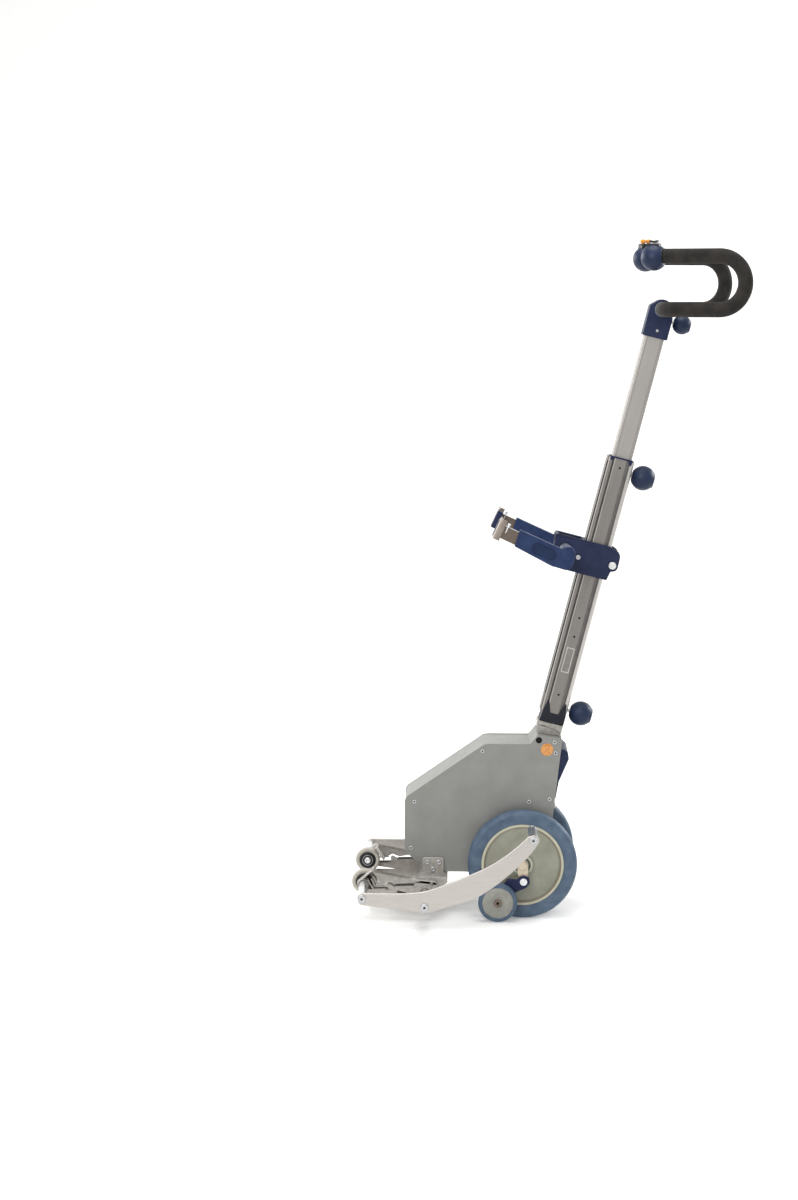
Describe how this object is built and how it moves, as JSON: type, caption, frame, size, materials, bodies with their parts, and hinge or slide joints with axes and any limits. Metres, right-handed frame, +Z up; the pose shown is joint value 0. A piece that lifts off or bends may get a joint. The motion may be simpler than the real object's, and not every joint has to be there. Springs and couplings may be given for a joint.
{
  "type": "portable stair climber",
  "caption": "Battery stair climber that carries a wheelchair: two main wheels, lifting crank, curved side platforms, telescopic column with clamp levers and looped handles.",
  "frame": {"origin": "on the floor under the middle of the bounding box", "axes": "+Z up; -X towards the wheelchair that it carries, +X towards the operator; +Y to the operator's right when facing the chair"},
  "size_m": [0.8581, 0.5286, 1.5065],
  "materials": {
    "grey_sheet": "satin grey powder coat",
    "cast_aluminium": "blasted casting",
    "anodised": "matt anodised",
    "silver_plate": "silver anodised",
    "bright_steel": "bright zinc",
    "beige_steel": "satin",
    "bronze": "machined",
    "navy_plastic": "fine texture",
    "blue_plastic": "fine texture",
    "grey_plastic": "matt",
    "black_plastic": "matt",
    "wheel_plastic": "fine texture",
    "roller_plastic": "matt",
    "potted_board": "matt",
    "foam_rubber": "foam",
    "orange_rubber": "matt",
    "grey_rubber": "non-marking solid tyre"
  },
  "bodies": {
    "base": {"side_plate_left": "grey_sheet", "side_plate_right": "grey_sheet", "base_shell": "grey_sheet", "foot_bracket": "cast_aluminium", "main_axle": "bright_steel", "gearbox_housing": "cast_aluminium", "lift_motor": "black_plastic", "motor_controller": "potted_board", "brake_link_left": "beige_steel", "brake_link_right": "beige_steel", "platform_bracket": "cast_aluminium"},
    "battery": {"battery_case": "navy_plastic", "battery_cells": "grey_plastic"},
    "main_wheel_left": {"wheel_disc_left": "wheel_plastic", "main_tyre_left": "grey_rubber"},
    "main_wheel_right": {"wheel_disc_right": "wheel_plastic", "main_tyre_right": "grey_rubber"},
    "brake_arm_left": {"brake_arm_left": "navy_plastic"},
    "brake_arm_right": {"brake_arm_right": "navy_plastic"},
    "brake_wheel_left": {"brake_wheel_left": "grey_rubber"},
    "brake_wheel_right": {"brake_wheel_right": "grey_rubber"},
    "crank": {"lift_crank": "bright_steel", "worm_wheel": "bronze"},
    "support_wheel_left": {"support_wheel_left": "grey_rubber"},
    "support_wheel_right": {"support_wheel_right": "grey_rubber"},
    "worm": {"worm_shaft": "bright_steel"},
    "platform_left": {"platform_plate_left": "silver_plate", "front_tube_left": "bright_steel", "middle_tube_left": "bright_steel", "rear_peg_left": "bright_steel"},
    "platform_right": {"platform_plate_right": "silver_plate", "front_tube_right": "bright_steel", "middle_tube_right": "bright_steel", "rear_peg_right": "bright_steel"},
    "skate_left": {"skate_roller_left": "roller_plastic"},
    "skate_right": {"skate_roller_right": "roller_plastic"},
    "column": {"outer_column": "anodised", "column_foot": "navy_plastic", "column_collar": "navy_plastic"},
    "lower_knob": {"lower_knob": "navy_plastic"},
    "column_knob": {"column_knob": "navy_plastic"},
    "mast": {"inner_tube": "anodised", "handle_head": "navy_plastic"},
    "head_knob": {"head_knob": "navy_plastic"},
    "handles": {"handle_tube": "anodised", "grip_left": "foam_rubber", "grip_right": "foam_rubber", "grip_ball_left": "navy_plastic", "grip_ball_right": "navy_plastic"},
    "up_button": {"up_button": "orange_rubber"},
    "down_button": {"down_button": "orange_rubber"},
    "mode_rocker": {"mode_rocker": "grey_plastic"},
    "carriage": {"clamp_carriage": "navy_plastic", "clamp_tube": "bright_steel", "carriage_pin": "bright_steel"},
    "lever_left": {"clamp_lever_left": "blue_plastic"},
    "lever_right": {"clamp_lever_right": "blue_plastic"},
    "hook_left": {"hook_left": "silver_plate"},
    "hook_right": {"hook_right": "silver_plate"}
  },
  "joints": [
    {"name": "main_wheel_left_spin", "type": "hinge", "parent": "base", "child": "main_wheel_left", "pos_m": [-0.0481, -0.09, 0.122], "axis": [0, 1, 0], "continuous": true},
    {"name": "brake_arm_left_drop", "type": "hinge", "parent": "base", "child": "brake_arm_left", "pos_m": [-0.0461, -0.1188, 0.0872], "axis": [0, 1, 0], "range_deg": [-18, 0]},
    {"name": "brake_wheel_left_spin", "type": "hinge", "parent": "brake_arm_left", "child": "brake_wheel_left", "pos_m": [-0.1036, -0.1319, 0.0435], "axis": [0, 1, 0], "continuous": true},
    {"name": "support_wheel_left_spin", "type": "hinge", "parent": "crank", "child": "support_wheel_left", "pos_m": [-0.0001, -0.0428, 0.04], "axis": [0, 1, 0], "continuous": true},
    {"name": "platform_left_width", "type": "slide", "parent": "base", "child": "platform_left", "axis": [0, -1, 0], "range_m": [-0.005, 0.045]},
    {"name": "skate_left_spin", "type": "hinge", "parent": "base", "child": "skate_left", "pos_m": [-0.4011, -0.1005, 0.0828], "axis": [0, 1, 0], "continuous": true},
    {"name": "lever_left_swing", "type": "hinge", "parent": "carriage", "child": "lever_left", "pos_m": [0.04371, -0.141, 0.82362], "axis": [0, 1, 0], "range_deg": [-30, 60]},
    {"name": "hook_left_slide", "type": "slide", "parent": "lever_left", "child": "hook_left", "axis": [-0.907, 0, 0.421], "range_m": [-0.03, 0.03]},
    {"name": "main_wheel_right_spin", "type": "hinge", "parent": "base", "child": "main_wheel_right", "pos_m": [-0.0481, 0.09, 0.122], "axis": [0, 1, 0], "continuous": true},
    {"name": "brake_arm_right_drop", "type": "hinge", "parent": "base", "child": "brake_arm_right", "pos_m": [-0.0461, 0.1188, 0.0872], "axis": [0, 1, 0], "range_deg": [-18, 0]},
    {"name": "brake_wheel_right_spin", "type": "hinge", "parent": "brake_arm_right", "child": "brake_wheel_right", "pos_m": [-0.1036, 0.1319, 0.0435], "axis": [0, 1, 0], "continuous": true},
    {"name": "support_wheel_right_spin", "type": "hinge", "parent": "crank", "child": "support_wheel_right", "pos_m": [-0.0001, 0.0428, 0.04], "axis": [0, 1, 0], "continuous": true},
    {"name": "platform_right_width", "type": "slide", "parent": "base", "child": "platform_right", "axis": [0, 1, 0], "range_m": [-0.005, 0.045]},
    {"name": "skate_right_spin", "type": "hinge", "parent": "base", "child": "skate_right", "pos_m": [-0.4011, 0.1005, 0.0828], "axis": [0, 1, 0], "continuous": true},
    {"name": "lever_right_swing", "type": "hinge", "parent": "carriage", "child": "lever_right", "pos_m": [0.04371, 0.141, 0.82362], "axis": [0, 1, 0], "range_deg": [-30, 60]},
    {"name": "hook_right_slide", "type": "slide", "parent": "lever_right", "child": "hook_right", "axis": [-0.907, 0, 0.421], "range_m": [-0.03, 0.03]},
    {"name": "crank_turn", "type": "hinge", "parent": "base", "child": "crank", "pos_m": [-0.0481, 0, 0.122], "axis": [0, 1, 0], "continuous": true},
    {"name": "worm_turn", "type": "hinge", "parent": "base", "child": "worm", "pos_m": [-0.03904, 0, 0.16465], "axis": [0.9781, 0, -0.2079], "continuous": true},
    {"name": "battery_slide", "type": "slide", "parent": "base", "child": "battery", "axis": [1, 0, 0], "range_m": [0, 0.12]},
    {"name": "column_lift", "type": "slide", "parent": "base", "child": "column", "axis": [0.2487, 0, 0.9686], "range_m": [0, 0.06]},
    {"name": "lower_knob_turn", "type": "hinge", "parent": "column", "child": "lower_knob", "pos_m": [0.02032, 0, 0.46311], "axis": [0.9686, 0, -0.2487], "range_deg": [0, 360]},
    {"name": "column_knob_turn", "type": "hinge", "parent": "column", "child": "column_knob", "pos_m": [0.15655, 0, 0.9937], "axis": [0.9686, 0, -0.2487], "range_deg": [0, 360]},
    {"name": "mast_slide", "type": "slide", "parent": "column", "child": "mast", "axis": [0.2487, 0, 0.9686], "range_m": [-0.24, 0.1]},
    {"name": "head_knob_turn", "type": "hinge", "parent": "mast", "child": "head_knob", "pos_m": [0.24315, 0, 1.33097], "axis": [0.9686, 0, -0.2487], "range_deg": [0, 360]},
    {"name": "handle_tilt", "type": "hinge", "parent": "mast", "child": "handles", "pos_m": [0.25191, 0, 1.35102], "axis": [0, 1, 0], "range_deg": [-35, 60]},
    {"name": "up_button_press", "type": "slide", "parent": "handles", "child": "up_button", "axis": [0, 0, -1], "range_m": [0, 0.002], "stiffness_N_per_m": 500, "springref_m": -0.002},
    {"name": "down_button_press", "type": "slide", "parent": "handles", "child": "down_button", "axis": [0, 0, -1], "range_m": [0, 0.002], "stiffness_N_per_m": 500, "springref_m": -0.002},
    {"name": "mode_rocker_tilt", "type": "hinge", "parent": "handles", "child": "mode_rocker", "pos_m": [0.2249, -0.11187, 1.49552], "axis": [0.3811, 0.9245, 0], "range_deg": [-8, 8], "stiffness_Nm_per_rad": 0.05},
    {"name": "carriage_slide", "type": "slide", "parent": "column", "child": "carriage", "axis": [0.2487, 0, 0.9686], "range_m": [-0.25, 0.12]}
  ],
  "couplings": [
    {"joint": "worm_turn", "follows": "crank_turn", "ratio": -24}
  ]
}
